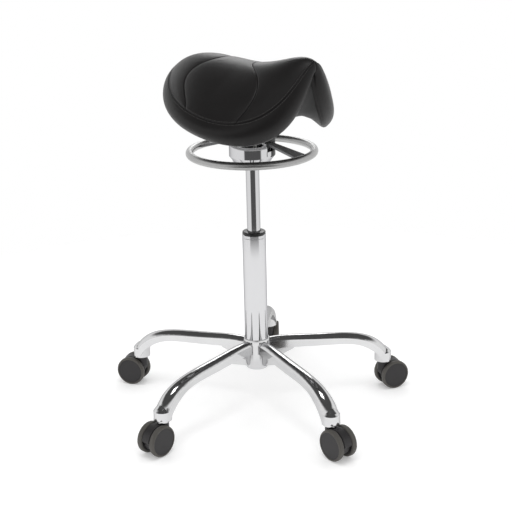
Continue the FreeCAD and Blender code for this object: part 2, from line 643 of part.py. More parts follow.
def angle_at(forward):
    """The seam's angle at a distance forward of the axis, found by halving."""
    low, high = 0.0, math.pi
    for _ in range(40):
        middle = (low + high) / 2
        if seam_point(middle).x > forward:
            low = middle
        else:
            high = middle
    return (low + high) / 2


def top_point(angle, part):
    """The top surface, from its middle at part 0 to the seam at part 1."""
    seam = seam_point(angle)
    forward = SEAM_LENGTH[0] + (seam.x - SEAM_LENGTH[0]) * part
    sideways = seam.y * part
    edge = seam_point(angle_at(forward))
    across = min(abs(sideways) / max(edge.y, 0.01), 1.0)
    ends = max(-1.0, min(1.0, forward / 180.0))
    target = ROUND_FRONT if ends > 0 else ROUND_REAR
    round_ = ROUND_MIDDLE + (target - ROUND_MIDDLE) * abs(ends)
    fall = (math.hypot(across, round_) - round_) / (math.hypot(1.0, round_) - round_)
    ridge = ridge_height(forward)
    return V(forward, sideways, ridge - (ridge - edge.z) * fall)


def band_point(angle, part):
    """The border band, from the seam at part 0 to the rim at part 1."""
    seam, rim = seam_point(angle), rim_point(angle)
    along = seam_point(angle + 0.001) - seam_point(angle - 0.001)
    out = along.cross(rim - seam)
    out.normalize()
    if out.dot(seam - V(SEAM_LENGTH[0], 0, RIM_HEIGHT[0])) < 0:
        out = out * -1
    front = max(math.cos(angle), 0.0) ** 2
    bulge = BAND_BULGE_SIDE + (BAND_BULGE_FRONT - BAND_BULGE_SIDE) * front
    return seam + (rim - seam) * part + out * (bulge * 4 * part * (1 - part))


def under_point(angle, part, lift=0.0):
    """The underside, from the flat that is bolted on at part 0 to the rim at part 1."""
    rim = rim_point(angle)
    flat = V(size("flat_half_y") * math.cos(angle), size("flat_half_x") * math.sin(angle), 0)
    spot = flat + (V(rim.x, rim.y, 0) - flat) * part
    spot.z = size("seat_flat") + (rim.z - size("seat_flat")) * part ** 1.6 + lift
    return spot


def skin_point(angle, along):
    """The outer skin: top from 0 to 1, band from 1 to 2, turned-under edge from 2."""
    if along <= 1.0:
        return top_point(angle, along)
    if along <= 2.0:
        return band_point(angle, along - 1.0)
    return under_point(angle, 3.0 - along)


def inset_point(angle, along, depth):
    """A point of the skin moved in along the skin's own normal."""
    step = 0.02
    turn_way = skin_point(angle + step, along) - skin_point(angle - step, along)
    out_way = skin_point(angle, along + step) - skin_point(angle, along - step)
    normal = out_way.cross(turn_way)
    normal.normalize()
    if normal.dot(skin_point(angle, along) - V(0, 0, 690.0)) < 0:
        normal = normal * -1
    return skin_point(angle, along) - normal * depth


def ring_wire(place, count=36):
    """A closed smooth wire through points of place(angle), turned to the stool's axes."""
    points = []
    for index in range(count):
        spot = place(2 * math.pi * index / count)
        points.append(V(-spot.y, -spot.x, spot.z))
    curve = Part.BSplineCurve()
    curve.interpolate(Points=points, PeriodicFlag=True)
    return Part.Wire(curve.toShape())


def mirrored(place):
    """Works out one half of a ring and mirrors it, so that both halves are alike."""
    def spot(angle):
        if angle > math.pi:
            other = place(2 * math.pi - angle)
            return V(other.x, -other.y, other.z)
        return place(angle)
    return spot


def pole_wire(height):
    return ring_wire(lambda angle: V(SEAM_LENGTH[0] + 4 * math.cos(angle), 4 * math.sin(angle),
                                     height))


def flat_wire(lift):
    return ring_wire(lambda angle: V(4 * math.cos(angle), 4 * math.sin(angle),
                                     size("seat_flat") + lift))


def soft_solid(label, wires):
    piece = keep(doc.addObject("Part::Feature", label), label)
    piece.Shape = Part.makeLoft(wires, True, True)
    return piece


TOP_PARTS = (0.2, 0.4, 0.6, 0.75, 0.88, 1.0)
BAND_PARTS = (1.25, 1.5, 1.75)


def make_saddle():
    shell_bottom = size("shell_lift")
    shell_top = shell_bottom + size("shell_thick")
    foam_bottom = shell_top + size("foam_gap")
    reach = size("shell_reach")

    def under_wires(parts, lift):
        return [ring_wire(mirrored(lambda a, p=p: under_point(a, p, lift))) for p in parts]

    shell = soft_solid("saddle_shell", [flat_wire(shell_bottom)]
                       + under_wires((0.0, 0.3, 0.6, reach), shell_bottom)
                       + under_wires((reach, 0.6, 0.3, 0.0), shell_top)
                       + [flat_wire(shell_top)])
    holes = [Part.makeCylinder(size("bolt_hole"), size("shell_thick") * 3,
                               V(x * size("bolt_x"), y * size("bolt_y"), size("plate_bottom")))
             for x in (-1, 1) for y in (-1, 1)]
    shell.Shape = shell.Shape.cut(Part.makeCompound(holes))

    depth = size("leather") + size("foam_gap")
    soft_solid("foam_cushion", [pole_wire(ridge_height(SEAM_LENGTH[0]) - depth)]
               + [ring_wire(mirrored(lambda a, p=p: inset_point(a, p, depth)))
                  for p in TOP_PARTS + BAND_PARTS]
               + under_wires((reach, 0.6, 0.3, 0.0), foam_bottom) + [flat_wire(foam_bottom)])

    inner = size("leather")
    outside = [ring_wire(mirrored(lambda a, p=p: skin_point(a, p)))
               for p in TOP_PARTS + BAND_PARTS + (2.0, 2.08)]
    inside = [ring_wire(mirrored(lambda a, p=p: inset_point(a, p, inner)))
              for p in (2.08, 1.95) + BAND_PARTS[::-1] + TOP_PARTS[::-1]]
    height = ridge_height(SEAM_LENGTH[0])
    soft_solid("leather_cover", [pole_wire(height)] + outside + inside
               + [pole_wire(height - inner)])


def check_and_write():
    doc.recompute()
    faults = [thing.Name for thing in doc.Objects
              if "Invalid" in thing.State or "Error" in thing.State]
    if faults:
        raise RuntimeError("failed objects: " + ", ".join(faults))
    os.makedirs("parts", exist_ok=True)
    for thing in nodes:
        shape = thing.Shape
        if shape.isNull() or not shape.isValid():
            raise RuntimeError("bad shape: " + thing.Label)
        print("%-24s %3d solids %9.0f mm3" % (thing.Label, len(shape.Solids), shape.Volume))
        shape.exportStep("parts/%s.step" % thing.Label)
    print(len(nodes), "nodes")


make_star_base()
make_column()
make_mechanism()
make_seat_plate()
for castor_number in range(1, 6):
    make_castor(castor_number)
make_saddle()
check_and_write()
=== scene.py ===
# %% [markdown]
# # A saddle stool, dressed for its picture
#
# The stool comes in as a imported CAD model: star base, gas column, release ring, castors and
# a plain solid saddle. That model is the frame, and nothing here moves or reshapes it. This
# file gives every part its finish. It also replaces the plain saddle by sewn leather, and the
# castors, the lever's arms and the column's collar by closer forms of the same pieces.

# %% Load the frame
import functools
import json
import math
import bmesh
import bpy
from mathutils import Matrix, Vector
from mathutils.bvhtree import BVHTree


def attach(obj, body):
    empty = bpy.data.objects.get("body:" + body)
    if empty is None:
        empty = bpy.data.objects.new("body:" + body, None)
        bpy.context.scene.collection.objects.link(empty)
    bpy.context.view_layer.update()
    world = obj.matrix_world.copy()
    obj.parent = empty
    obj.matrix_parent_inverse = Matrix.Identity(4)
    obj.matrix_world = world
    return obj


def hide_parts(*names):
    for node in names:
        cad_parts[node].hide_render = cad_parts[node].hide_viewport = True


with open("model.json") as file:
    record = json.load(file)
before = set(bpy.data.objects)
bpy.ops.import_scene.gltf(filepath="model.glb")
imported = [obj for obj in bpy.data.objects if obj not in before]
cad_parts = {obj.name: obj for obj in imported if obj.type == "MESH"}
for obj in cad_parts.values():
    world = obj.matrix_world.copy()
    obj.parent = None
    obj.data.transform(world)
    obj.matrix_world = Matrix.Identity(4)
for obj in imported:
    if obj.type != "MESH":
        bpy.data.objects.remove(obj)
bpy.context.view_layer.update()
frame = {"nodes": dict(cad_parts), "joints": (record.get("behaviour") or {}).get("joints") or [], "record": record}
nodes = frame["nodes"]
MM = 0.001
print(len(nodes), "parts in the frame")

# %% [markdown]
# ## Camera
#
# The picture was taken from a little above the seat with a long lens, so that the legs hardly
# spread towards the bottom. A camera could be aimed at a point by a constraint. Here its
# three directions are built by hand, which keeps the lean a single small turn of its own.

# %% Camera
HEADING = math.radians(44.197)
DOWN = math.radians(18.606)
LEAN = math.radians(-1.37)
FOCAL_PIXELS = 1152.98
STANDS_AT = Vector((-1.6638, -1.6265, 1.11935))
FILM_WIDTH, PICTURE_WIDTH = 36.0, 515.0

ahead = Vector((math.cos(HEADING) * math.cos(DOWN), math.sin(HEADING) * math.cos(DOWN),
                -math.sin(DOWN)))
right = Vector((math.sin(HEADING), -math.cos(HEADING), 0.0))
above = right.cross(ahead)
lens = bpy.data.cameras.new("camera")
lens.sensor_width = FILM_WIDTH
lens.lens = FILM_WIDTH * FOCAL_PIXELS / PICTURE_WIDTH
lens.clip_end = 50.0
camera = bpy.data.objects.new("camera", lens)
bpy.context.scene.collection.objects.link(camera)
facing = Matrix((right, above, -ahead)).transposed()
camera.matrix_world = (Matrix.Translation(STANDS_AT)
                       @ (facing @ Matrix.Rotation(LEAN, 3, "Z")).to_4x4())
bpy.context.scene.camera = camera
print("lens", round(lens.lens, 1), "mm")

# %% [markdown]
# ## Light, and what the chrome reflects
#
# Chrome has no colour of its own: it shows the room. A panorama could be that room, but two
# smooth steps say exactly where it is dark. The room here is a ring of low white walls, dark
# towards the camera and overhead. An upright tube then has a dark middle between two bright
# sides, and black leather stays black except where its top surface mirrors the far wall.
# Every other ray finds plain white all round, which gives soft light without edges, and two
# small lamps add the bright spots.

# %% Room and lamps
bpy.context.scene.view_settings.view_transform = "Standard"

world = bpy.data.worlds.new("studio")
world.use_nodes = True
bpy.context.scene.world = world
room = world.node_tree
room.nodes.clear()
DARK_SIDE = Vector((-0.66, -0.72, -0.24)).normalized()
DARK_WALL, DARK_CEILING = (0.71, 0.80, 0.11), (0.45, 0.68, 0.08)
AROUND, BACKDROP = 0.9, 1.0
WHITE = (1, 1, 1, 1)


def room_node(kind, settings=(), inputs=()):
    made = room.nodes.new(kind)
    for name, value in dict(settings).items():
        setattr(made, name, value)
    for key, value in dict(inputs).items():
        if isinstance(value, bpy.types.NodeSocket):
            room.links.new(value, made.inputs[key])
        else:
            made.inputs[key].default_value = value
    return made


def falls(value, start, end, low):
    """1 up to the start, then a smooth step down to the low value at the end."""
    return room_node("ShaderNodeMapRange", {"interpolation_type": "SMOOTHSTEP"},
                     {0: value, 1: start, 2: end, 3: 1.0, 4: low}).outputs[0]


sky = room_node("ShaderNodeTexCoord").outputs["Generated"]
toward_dark = room_node("ShaderNodeVectorMath", {"operation": "DOT_PRODUCT"},
                        {0: sky, 1: DARK_SIDE}).outputs["Value"]
upward = room_node("ShaderNodeSeparateXYZ", (), {0: sky}).outputs["Z"]
reflected = room_node("ShaderNodeMath", {"operation": "MULTIPLY"},
                      {0: falls(toward_dark, *DARK_WALL),
                       1: falls(upward, *DARK_CEILING)}).outputs[0]
ray = room_node("ShaderNodeLightPath")
lit = room_node("ShaderNodeBackground", (), {"Color": WHITE, "Strength": AROUND})
seen = room_node("ShaderNodeBackground", (), {"Color": WHITE, "Strength": BACKDROP})
shine = room_node("ShaderNodeBackground", (), {"Color": WHITE, "Strength": reflected})
mirror_or_lit = room_node("ShaderNodeMixShader", (), {
    0: ray.outputs["Is Glossy Ray"], 1: lit.outputs[0], 2: shine.outputs[0]})
whole = room_node("ShaderNodeMixShader", (), {
    0: ray.outputs["Is Camera Ray"], 1: mirror_or_lit.outputs[0], 2: seen.outputs[0]})
room_node("ShaderNodeOutputWorld", (), {"Surface": whole.outputs[0]})


def softbox(name, place, aim, width, height, power):
    """An area lamp at a place, turned to face the point it is aimed at."""
    lamp = bpy.data.lights.new(name, "AREA")
    lamp.shape = "RECTANGLE"
    lamp.size, lamp.size_y, lamp.energy = width, height, power
    thing = bpy.data.objects.new(name, lamp)
    thing.location = place
    thing.rotation_euler = (Vector(aim) - Vector(place)).to_track_quat("-Z", "Y").to_euler()
    bpy.context.scene.collection.objects.link(thing)


softbox("overhead", (-0.5, -0.35, 2.7), (0, 0, 0.4), 0.8, 0.8, 11)
softbox("back_wall", (1.5, 1.3, 1.6), (0, 0, 0.6), 0.9, 0.7, 5)
print(len(room.nodes), "nodes and 2 lamps make the room")

# %% [markdown]
# ## A short way to write materials
#
# A material is a web of nodes. Most of it is arithmetic, so a socket is wrapped in a small
# class whose plus, minus and times add the matching Math node. Everything else comes from
# one method that is told the node's kind, its settings and what goes into its sockets.

# %% Material helpers
class Wire:
    """One output of a node, which can be used in sums."""

    def __init__(self, paint, socket):
        self.paint, self.socket = paint, socket

    def sum(self, operation, first, second):
        return self.paint.node("ShaderNodeMath", {"operation": operation},
                               {0: first, 1: second})

    def __add__(self, other):
        return self.sum("ADD", self, other)

    def __sub__(self, other):
        return self.sum("SUBTRACT", self, other)

    def __rsub__(self, other):
        return self.sum("SUBTRACT", other, self)

    def __mul__(self, other):
        return self.sum("MULTIPLY", self, other)

    __radd__ = __add__
    __rmul__ = __mul__


class Paint:
    """A material under construction, with its one Principled shader."""

    def __init__(self, name, **fixed):
        self.material = bpy.data.materials.new(name)
        self.material.use_nodes = True
        self.tree = self.material.node_tree
        self.shader = self.tree.nodes["Principled BSDF"]
        for socket, value in fixed.items():
            self.shader.inputs[socket.replace("_", " ")].default_value = value
        self.place = self.node("ShaderNodeTexCoord", output="Object")

    def node(self, kind, settings=(), inputs=(), output=0):
        """Adds a node: its settings first, then the values or links of its sockets."""
        made = self.tree.nodes.new(kind)
        for name, value in dict(settings).items():
            setattr(made, name, value)
        for key, value in dict(inputs).items():
            if isinstance(value, Wire):
                self.tree.links.new(value.socket, made.inputs[key])
            else:
                made.inputs[key].default_value = value
        return Wire(self, made.outputs[output])

    def noise(self, scale, detail=2.0, stretch=(1, 1, 1)):
        spot = self.node("ShaderNodeMapping", (), {"Vector": self.place, "Scale": stretch})
        return self.node("ShaderNodeTexNoise", (), {"Vector": spot, "Scale": scale,
                                                    "Detail": detail})

    def between(self, mask, low, high):
        """A number that runs from low to high as the mask runs from 0 to 1."""
        return mask * (high - low) + low

    def blend(self, mask, first, second):
        return self.node("ShaderNodeMix", {"data_type": "RGBA"},
                         {"Factor": mask, 6: (*first, 1), 7: (*second, 1)}, output=2)

    def bump(self, height, strength, distance, under=None):
        inputs = {"Height": height, "Strength": strength, "Distance": distance}
        if under is not None:
            inputs["Normal"] = under
        return self.node("ShaderNodeBump", (), inputs)

    def finish(self, **linked):
        for socket, wire in linked.items():
            self.tree.links.new(wire.socket, self.shader.inputs[socket.replace("_", " ")])
        return self.material


# %% [markdown]
# ## Metal finishes
#
# Chrome is a mirror with faint polishing haze. The cast base is polished by hand, so it is
# nearly as bright with a slow waviness left in it. The ring is ground along its length, the
# lever's arms are a dark casting left rough, and the hidden fixings are plain zinc-plated
# steel. One noise may drive colour, roughness and bump together, as wear does on real metal.

# %% Metals
def chrome():
    paint = Paint("chrome", Metallic=1.0, Base_Color=(0.64, 0.64, 0.65, 1),
                  Specular_Tint=(0.42, 0.42, 0.43, 1))
    haze = paint.noise(26.0, 4.0)
    return paint.finish(Roughness=paint.between(haze, 0.03, 0.07),
                        Normal=paint.bump(paint.noise(9.0), 0.05, 0.0004))


def polished_casting():
    paint = Paint("polished_casting", Metallic=1.0, Specular_Tint=(0.5, 0.5, 0.5, 1))
    cloud = paint.noise(14.0, 3.0)
    grain = paint.noise(900.0, 2.0)
    return paint.finish(Base_Color=paint.blend(cloud, (0.62, 0.62, 0.63), (0.72, 0.72, 0.72)),
                        Roughness=paint.between(cloud, 0.06, 0.12),
                        Normal=paint.bump(grain, 0.03, 0.0002,
                                          paint.bump(paint.noise(22.0), 0.08, 0.0006)))


def zinc():
    paint = Paint("zinc_steel", Metallic=1.0)
    spangle = paint.noise(240.0, 3.0)
    return paint.finish(Base_Color=paint.blend(spangle, (0.52, 0.52, 0.50), (0.68, 0.68, 0.65)),
                        Roughness=paint.between(spangle, 0.28, 0.42),
                        Normal=paint.bump(spangle, 0.06, 0.0002))


def ground_steel():
    """Fine level scratches: a noise that changes fast with height and slowly sideways."""
    paint = Paint("satin_steel", Metallic=1.0)
    lines = paint.noise(1400.0, 2.0, (0.05, 0.05, 1.0))
    cloud = paint.noise(18.0, 3.0)
    return paint.finish(Base_Color=paint.blend(cloud, (0.36, 0.36, 0.36), (0.43, 0.43, 0.425)),
                        Roughness=paint.between(cloud, 0.28, 0.36),
                        Normal=paint.bump(lines, 0.10, 0.0002))


def dark_casting():
    paint = Paint("dark_casting", Metallic=0.65, Coat_Weight=0.15, Coat_Roughness=0.25)
    sand = paint.noise(700.0, 3.0)
    cloud = paint.noise(30.0, 3.0)
    return paint.finish(Base_Color=paint.blend(cloud, (0.15, 0.15, 0.155), (0.26, 0.26, 0.265)),
                        Roughness=paint.between(cloud, 0.34, 0.48),
                        Normal=paint.bump(sand, 0.22, 0.0004))


# %% [markdown]
# ## Plastics and rubber
#
# Moulded nylon has a fine spark-eroded texture that breaks up its shine. The castors' treads
# are a softer, greyer material than their discs, which is why a pale ring shows round each.

# %% Plastics
def moulded(name, low, high, rough_low, rough_high, texture=0.2):
    paint = Paint(name, Specular_IOR_Level=0.4)
    sand = paint.noise(1500.0, 2.0)
    cloud = paint.noise(40.0, 4.0)
    return paint.finish(Base_Color=paint.blend(cloud, low, high),
                        Roughness=paint.between(cloud, rough_low, rough_high),
                        Normal=paint.bump(sand, texture, 0.0003))


# %% [markdown]
# ## One finish for each material
#
# The frame's record names the material of every part, so the finishes stand in a table under
# the same names and a loop hands them out. Painting part by part would repeat itself for
# every castor. The leather isn't in the table: it is made with the saddle.

# %% Finishes for the parts
finishes = {
    "polished_casting": polished_casting(),
    "chrome": chrome(),
    "zinc_steel": zinc(),
    "black_plastic": moulded("black_plastic", (0.012, 0.012, 0.012), (0.022, 0.022, 0.022),
                             0.38, 0.5),
    "black_rubber": moulded("black_rubber", (0.012, 0.012, 0.012), (0.02, 0.02, 0.02), 0.6, 0.75),
    "black_steel": moulded("black_steel", (0.018, 0.018, 0.018), (0.026, 0.026, 0.026), 0.4, 0.5,
                           0.3),
    "shell_plastic": moulded("shell_plastic", (0.02, 0.02, 0.02), (0.03, 0.03, 0.03), 0.5, 0.6,
                             0.3),
    "seat_foam": moulded("seat_foam", (0.70, 0.64, 0.46), (0.78, 0.72, 0.52), 0.85, 0.95, 0.5),
    "dark_casting": dark_casting(),
    "satin_steel": ground_steel(),
    "castor_plastic": moulded("castor_plastic", (0.016, 0.015, 0.016), (0.024, 0.022, 0.023),
                              0.42, 0.52),
    "castor_tread": moulded("castor_tread", (0.062, 0.058, 0.052), (0.082, 0.077, 0.069),
                            0.5, 0.6),
}
slots = {part["node"]: part["material_slot"] for part in frame["record"]["subparts"]}
for name, thing in nodes.items():
    thing.data.materials.clear()
    thing.data.materials.append(finishes.get(slots[name], finishes["black_plastic"]))
print(len(finishes), "finishes")

# %% [markdown]
# ## Floor
#
# A sheet of pale paper catches the stool's shadow. A square sheet would end in a visible
# edge, so this one is a disc that grows clear towards its rim and lets the white room show
# through. How clear it is comes from the distance to its middle.

# %% Floor
FLOOR_RADIUS, FADE_START = 1.35, 1.0
floor_mesh = bmesh.new()
bmesh.ops.create_circle(floor_mesh, cap_ends=True, segments=96, radius=FLOOR_RADIUS)
floor_data = bpy.data.meshes.new("floor")
floor_mesh.to_mesh(floor_data)
floor_mesh.free()
floor = bpy.data.objects.new("floor", floor_data)
bpy.context.scene.collection.objects.link(floor)
paper = Paint("floor", Roughness=0.9, Base_Color=(0.9, 0.9, 0.9, 1), Specular_IOR_Level=0.1,
              Emission_Color=WHITE, Emission_Strength=0.22)
outward = paper.node("ShaderNodeVectorMath", {"operation": "LENGTH"}, {0: paper.place}, "Value")
floor.data.materials.append(paper.finish(Alpha=paper.node(
    "ShaderNodeMapRange", {"interpolation_type": "SMOOTHSTEP"},
    {0: outward, 1: FADE_START, 2: FLOOR_RADIUS, 3: 1.0, 4: 0.0})))
print("floor", FLOOR_RADIUS, "m from middle to rim")

# %% [markdown]
# ## Making pieces
#
# Three shapes cover the small parts: a profile spun round an axis, a block bent to a form,
# and a mesh made elsewhere. Whatever its shape, a piece becomes an object here, gets its
# finish, and is told which moving body it rides on.

# %% Piece helpers
def finished_piece(mesh, name, body, slot, finish=None, crisp=None):
    """Makes an object of a mesh, smooth up to a crisp angle, riding on a body."""
    data = bpy.data.meshes.new(name)
    mesh.to_mesh(data)
    mesh.free()
    thing = bpy.data.objects.new(name, data)
    bpy.context.scene.collection.objects.link(thing)
    for polygon in data.polygons:
        polygon.use_smooth = True
    if crisp:
        data.set_sharp_from_angle(angle=math.radians(crisp))
    data.materials.append(finish or finishes[slot])
    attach(thing, body)
    return thing


def turned(profile, centre, axis, ring=False, steps=72):
    """Spins a profile of (radius, along) points. A ring's profile closes on itself."""
    mesh = bmesh.new()
    out = axis.orthogonal().normalized()
    spots = [mesh.verts.new(centre + (out * radius + axis * along) * MM)
             for radius, along in profile]
    following = spots[1:] + spots[:1] if ring else spots[1:]
    lines = [mesh.edges.new(pair) for pair in zip(spots, following)]
    bmesh.ops.spin(mesh, geom=spots + lines, cent=centre, axis=axis, angle=2 * math.pi,
                   steps=steps, use_merge=True)
    bmesh.ops.remove_doubles(mesh, verts=mesh.verts, dist=1e-6)
    bmesh.ops.recalc_face_normals(mesh, faces=mesh.faces)
    return mesh


def bent_block(cuts, where, bevel):
    """A block divided along x and y whose points go where(x, y, z) says, each from 0 to 1."""
    mesh = bmesh.new()
    bmesh.ops.create_cube(mesh, size=1.0)
    for axis, count in enumerate(cuts):
        edges = [edge for edge in mesh.edges
                 if abs(edge.verts[0].co[axis] - edge.verts[1].co[axis]) > 0.5]
        bmesh.ops.subdivide_edges(mesh, edges=edges, cuts=count, use_grid_fill=True)
    for vert in mesh.verts:
        vert.co = where(*(part + 0.5 for part in vert.co)) * MM
    bmesh.ops.recalc_face_normals(mesh, faces=mesh.faces)
    sharp = [edge for edge in mesh.edges if edge.calc_face_angle(0) > 1.0]
    bmesh.ops.bevel(mesh, geom=sharp, offset=bevel * MM, segments=2, affect="EDGES")
    return mesh


def rounded(radius, along, size, start, end, steps=6):
    """Points of a rounded corner of a profile, between two angles in degrees."""
    return [(radius + size * math.cos(math.radians(start + (end - start) * step / steps)),
             along + size * math.sin(math.radians(start + (end - start) * step / steps)))
            for step in range(steps + 1)]


# %% [markdown]
# ## Castor wheels
#
# Each castor has two wheels with closed, flat discs and round-edged soft treads. Both are
# turned shapes, so each is a profile spun round the axle. They could be one mesh with two
# materials, but two pieces leave a true line between tread and disc. Distances along the
# axle count outwards from the castor's middle.

# %% Castor profiles
WHEEL_RADIUS, TREAD_INNER, TREAD_ROUND = 32.5, 28.0, 3.8
WHEEL_NEAR, WHEEL_FAR, SET_BACK = 10.8, 23.0, 0.3
DISC_RADIUS, DISC_FACE, DISC_CHAMFER, DISC_CROWN = TREAD_INNER - 0.1, WHEEL_FAR - 0.7, 0.6, 0.2
AXLE_RADIUS, AXLE_HALF = 3.0, 11.2
tread_profile = ([(TREAD_INNER, WHEEL_NEAR)]
                 + rounded(WHEEL_RADIUS - TREAD_ROUND, WHEEL_NEAR + TREAD_ROUND, TREAD_ROUND,
                           -90, 0)
                 + rounded(WHEEL_RADIUS - TREAD_ROUND, WHEEL_FAR - TREAD_ROUND, TREAD_ROUND,
                           0, 90)
                 + [(TREAD_INNER, WHEEL_FAR - SET_BACK)])
disc_profile = [(0, WHEEL_NEAR + SET_BACK), (DISC_RADIUS, WHEEL_NEAR + SET_BACK),
                (DISC_RADIUS, DISC_FACE - DISC_CHAMFER),
                (DISC_RADIUS - DISC_CHAMFER, DISC_FACE), (0, DISC_FACE + DISC_CROWN)]
axle_profile = [(0, -AXLE_HALF), (AXLE_RADIUS, -AXLE_HALF), (AXLE_RADIUS, AXLE_HALF),
                (0, AXLE_HALF)]
print("wheels", 2 * WHEEL_RADIUS, "mm high and", 2 * WHEEL_FAR, "mm wide as a pair")

# %% [markdown]
# ## Castor hood
#
# Between the wheels a moulded hood carries the axle and takes the stem. It could be cut from
# a block, but a disc whose lower part is drawn in, pushed out to its width, gives the rounded
# plate at once. It is a little smaller than the wheels, so that both treads show.

# %% Castor hood
HOOD_HALF, HOOD_TOP, HOOD_LOW, HOOD_ROUND = 10.3, 31.4, 24.5, 1.4
DRAWN_IN_BELOW, DRAWN_IN_OVER = -0.12, 0.3
NECK_RADIUS, NECK_BOTTOM, NECK_TOP = 12.0, 44.0, 64.2


def hood_form(centre, axis, stem):
    """A rounded plate round the axle, full above and smaller below, with a neck for the stem."""
    forward = Vector((axis.y, -axis.x, 0))
    mesh = bmesh.new()
    bmesh.ops.create_circle(mesh, cap_ends=True, segments=80, radius=1.0)
    for vert in mesh.verts:
        lift = min(max((vert.co.y - DRAWN_IN_BELOW) / DRAWN_IN_OVER, 0.0), 1.0)
        reach = HOOD_LOW + (HOOD_TOP - HOOD_LOW) * lift * lift * (3 - 2 * lift)
        vert.co = centre + (forward * vert.co.x * reach + Vector((0, 0, vert.co.y * reach))
                            - axis * HOOD_HALF) * MM
    pushed = bmesh.ops.extrude_face_region(mesh, geom=mesh.faces[:])["geom"]
    for vert in (part for part in pushed if isinstance(part, bmesh.types.BMVert)):
        vert.co += axis * (2 * HOOD_HALF * MM)
    bmesh.ops.recalc_face_normals(mesh, faces=mesh.faces)
    rims = [edge for edge in mesh.edges if edge.calc_face_angle(0) > 1.0]
    bmesh.ops.bevel(mesh, geom=rims, offset=HOOD_ROUND * MM, segments=3, affect="EDGES")
    middle = Vector((stem.x, stem.y, (NECK_BOTTOM + NECK_TOP) / 2 * MM))
    bmesh.ops.create_cone(mesh, cap_ends=True, segments=48, radius1=NECK_RADIUS * MM,
                          radius2=NECK_RADIUS * MM, depth=(NECK_TOP - NECK_BOTTOM) * MM,
                          matrix=Matrix.Translation(middle))
    return mesh


# %% [markdown]
# ## Five castors alike
#
# Places and directions come from the joints, so one loop builds all five, and each piece
# rides on the body that turns with it.

# %% Build the castors
joints = {joint["name"]: joint for joint in frame["joints"]}
for number in range(1, 6):
    castor = "castor_%d" % number
    stem = Vector(joints[castor + "_swivel"]["pos_m"])
    for side, sign in (("_left", 1), ("_right", -1)):
        roll = joints[castor + side + "_roll"]
        centre, axis = Vector(roll["pos_m"]), Vector(roll["axis"]).normalized()
        for part, profile, slot in (("_tread", tread_profile, "castor_tread"),
                                    ("_wheel", disc_profile, "castor_plastic")):
            mesh = turned(profile, centre, axis * sign, ring=part == "_tread")
            piece = finished_piece(mesh, castor + side + part + "_form", castor + side, slot,
                                   crisp=30)
            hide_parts(castor + side + part)
    hood = finished_piece(hood_form(centre, axis, stem), castor + "_hood_form", castor,
                          "castor_plastic", crisp=30)
    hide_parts(castor + "_hood")
    pin = finished_piece(turned(axle_profile, centre, axis, steps=24), castor + "_axle_form",
                         castor, "zinc_steel", crisp=40)
    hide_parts(castor + "_axle")
print("5 castors")

# %% [markdown]
# ## The column's mouth
#
# The chrome tube reaches up round a black bush, which shows as a glossy collar that the
# gas spring's cylinder slides through. Cylinders and bevels could build both, but a profile
# spun round the column's axis holds the lip, the round edge and the bore in one outline.

# %% Tube mouth and collar
UPRIGHT, AXIS_FOOT = Vector((0, 0, 1)), Vector((0, 0, 0))
TUBE_RADIUS, TUBE_BORE, TUBE_END, MOUTH, LIP = 25.0, 24.0, 384.1, 390.4, 0.6
BUSH_BORE, BUSH_RADIUS, BUSH_BOTTOM = 14.1, 22.9, 318.0
COLLAR_ROUND, CROWN_RADIUS, CROWN_RISE = 2.2, 19.0, 6.4
mouth = turned([(TUBE_BORE, TUBE_END), (TUBE_RADIUS, TUBE_END), (TUBE_RADIUS, MOUTH - LIP),
                (TUBE_RADIUS - LIP, MOUTH), (TUBE_BORE, MOUTH)], AXIS_FOOT, UPRIGHT, ring=True)
finished_piece(mouth, "tube_mouth", "base", "chrome", crisp=40)
collar = turned([(BUSH_BORE, BUSH_BOTTOM), (BUSH_RADIUS, BUSH_BOTTOM),
                 (BUSH_RADIUS, MOUTH + 0.2), (TUBE_RADIUS - 0.2, MOUTH + 0.3)]
                + rounded(TUBE_RADIUS - 0.2 - COLLAR_ROUND, MOUTH + 3.4, COLLAR_ROUND, 0, 80)
                + [(CROWN_RADIUS, MOUTH + CROWN_RISE), (BUSH_BORE + 1.2, MOUTH + CROWN_RISE + 0.2),
                   (BUSH_BORE, MOUTH + CROWN_RISE - 0.8)], AXIS_FOOT, UPRIGHT, ring=True)
gloss = moulded("black_gloss", (0.010, 0.010, 0.010), (0.016, 0.016, 0.016), 0.16, 0.26, 0.05)
piece = finished_piece(collar, "collar_form", "base", "black_plastic", gloss, crisp=40)
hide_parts("guide_bushing")
print("collar", round(MOUTH + CROWN_RISE), "mm above the floor")

# %% [markdown]
# ## Lever arms
#
# Two cranked bars join the lever's hub to the ring. Each leaves the hub low, climbs over the
# edge of the chrome cup and then slopes down, widening until it meets the ring along the
# ring's own curve. A bar could be bent by a curve modifier, but its width changes too, so a
# block is cut into slices and a formula lays each slice along the arm.

# %% Lever arms
LEVER_TURN, HUB_HEIGHT, CREST_AT, CREST_HEIGHT = math.radians(10.0), 577.0, 49.0, 587.0
RING_HEIGHT, RING_INSIDE, FRONT_START, REAR_START = 568.3, 120.8, 30.4, 41.8
BAR_ROOT_HALF, BAR_TIP_HALF, BAR_ROOT_THICK, BAR_TIP_THICK = 5.5, 18.0, 7.0, 5.0
BAR_BEVEL = 0.7


def mixed(start, end, part):
    return start + (end - start) * part


def by_lever(x, y, z):
    """A point in the stool's axes, from its place along the turned lever's own axes."""
    return Vector((x * math.cos(LEVER_TURN) - y * math.sin(LEVER_TURN),
                   x * math.sin(LEVER_TURN) + y * math.cos(LEVER_TURN), z))


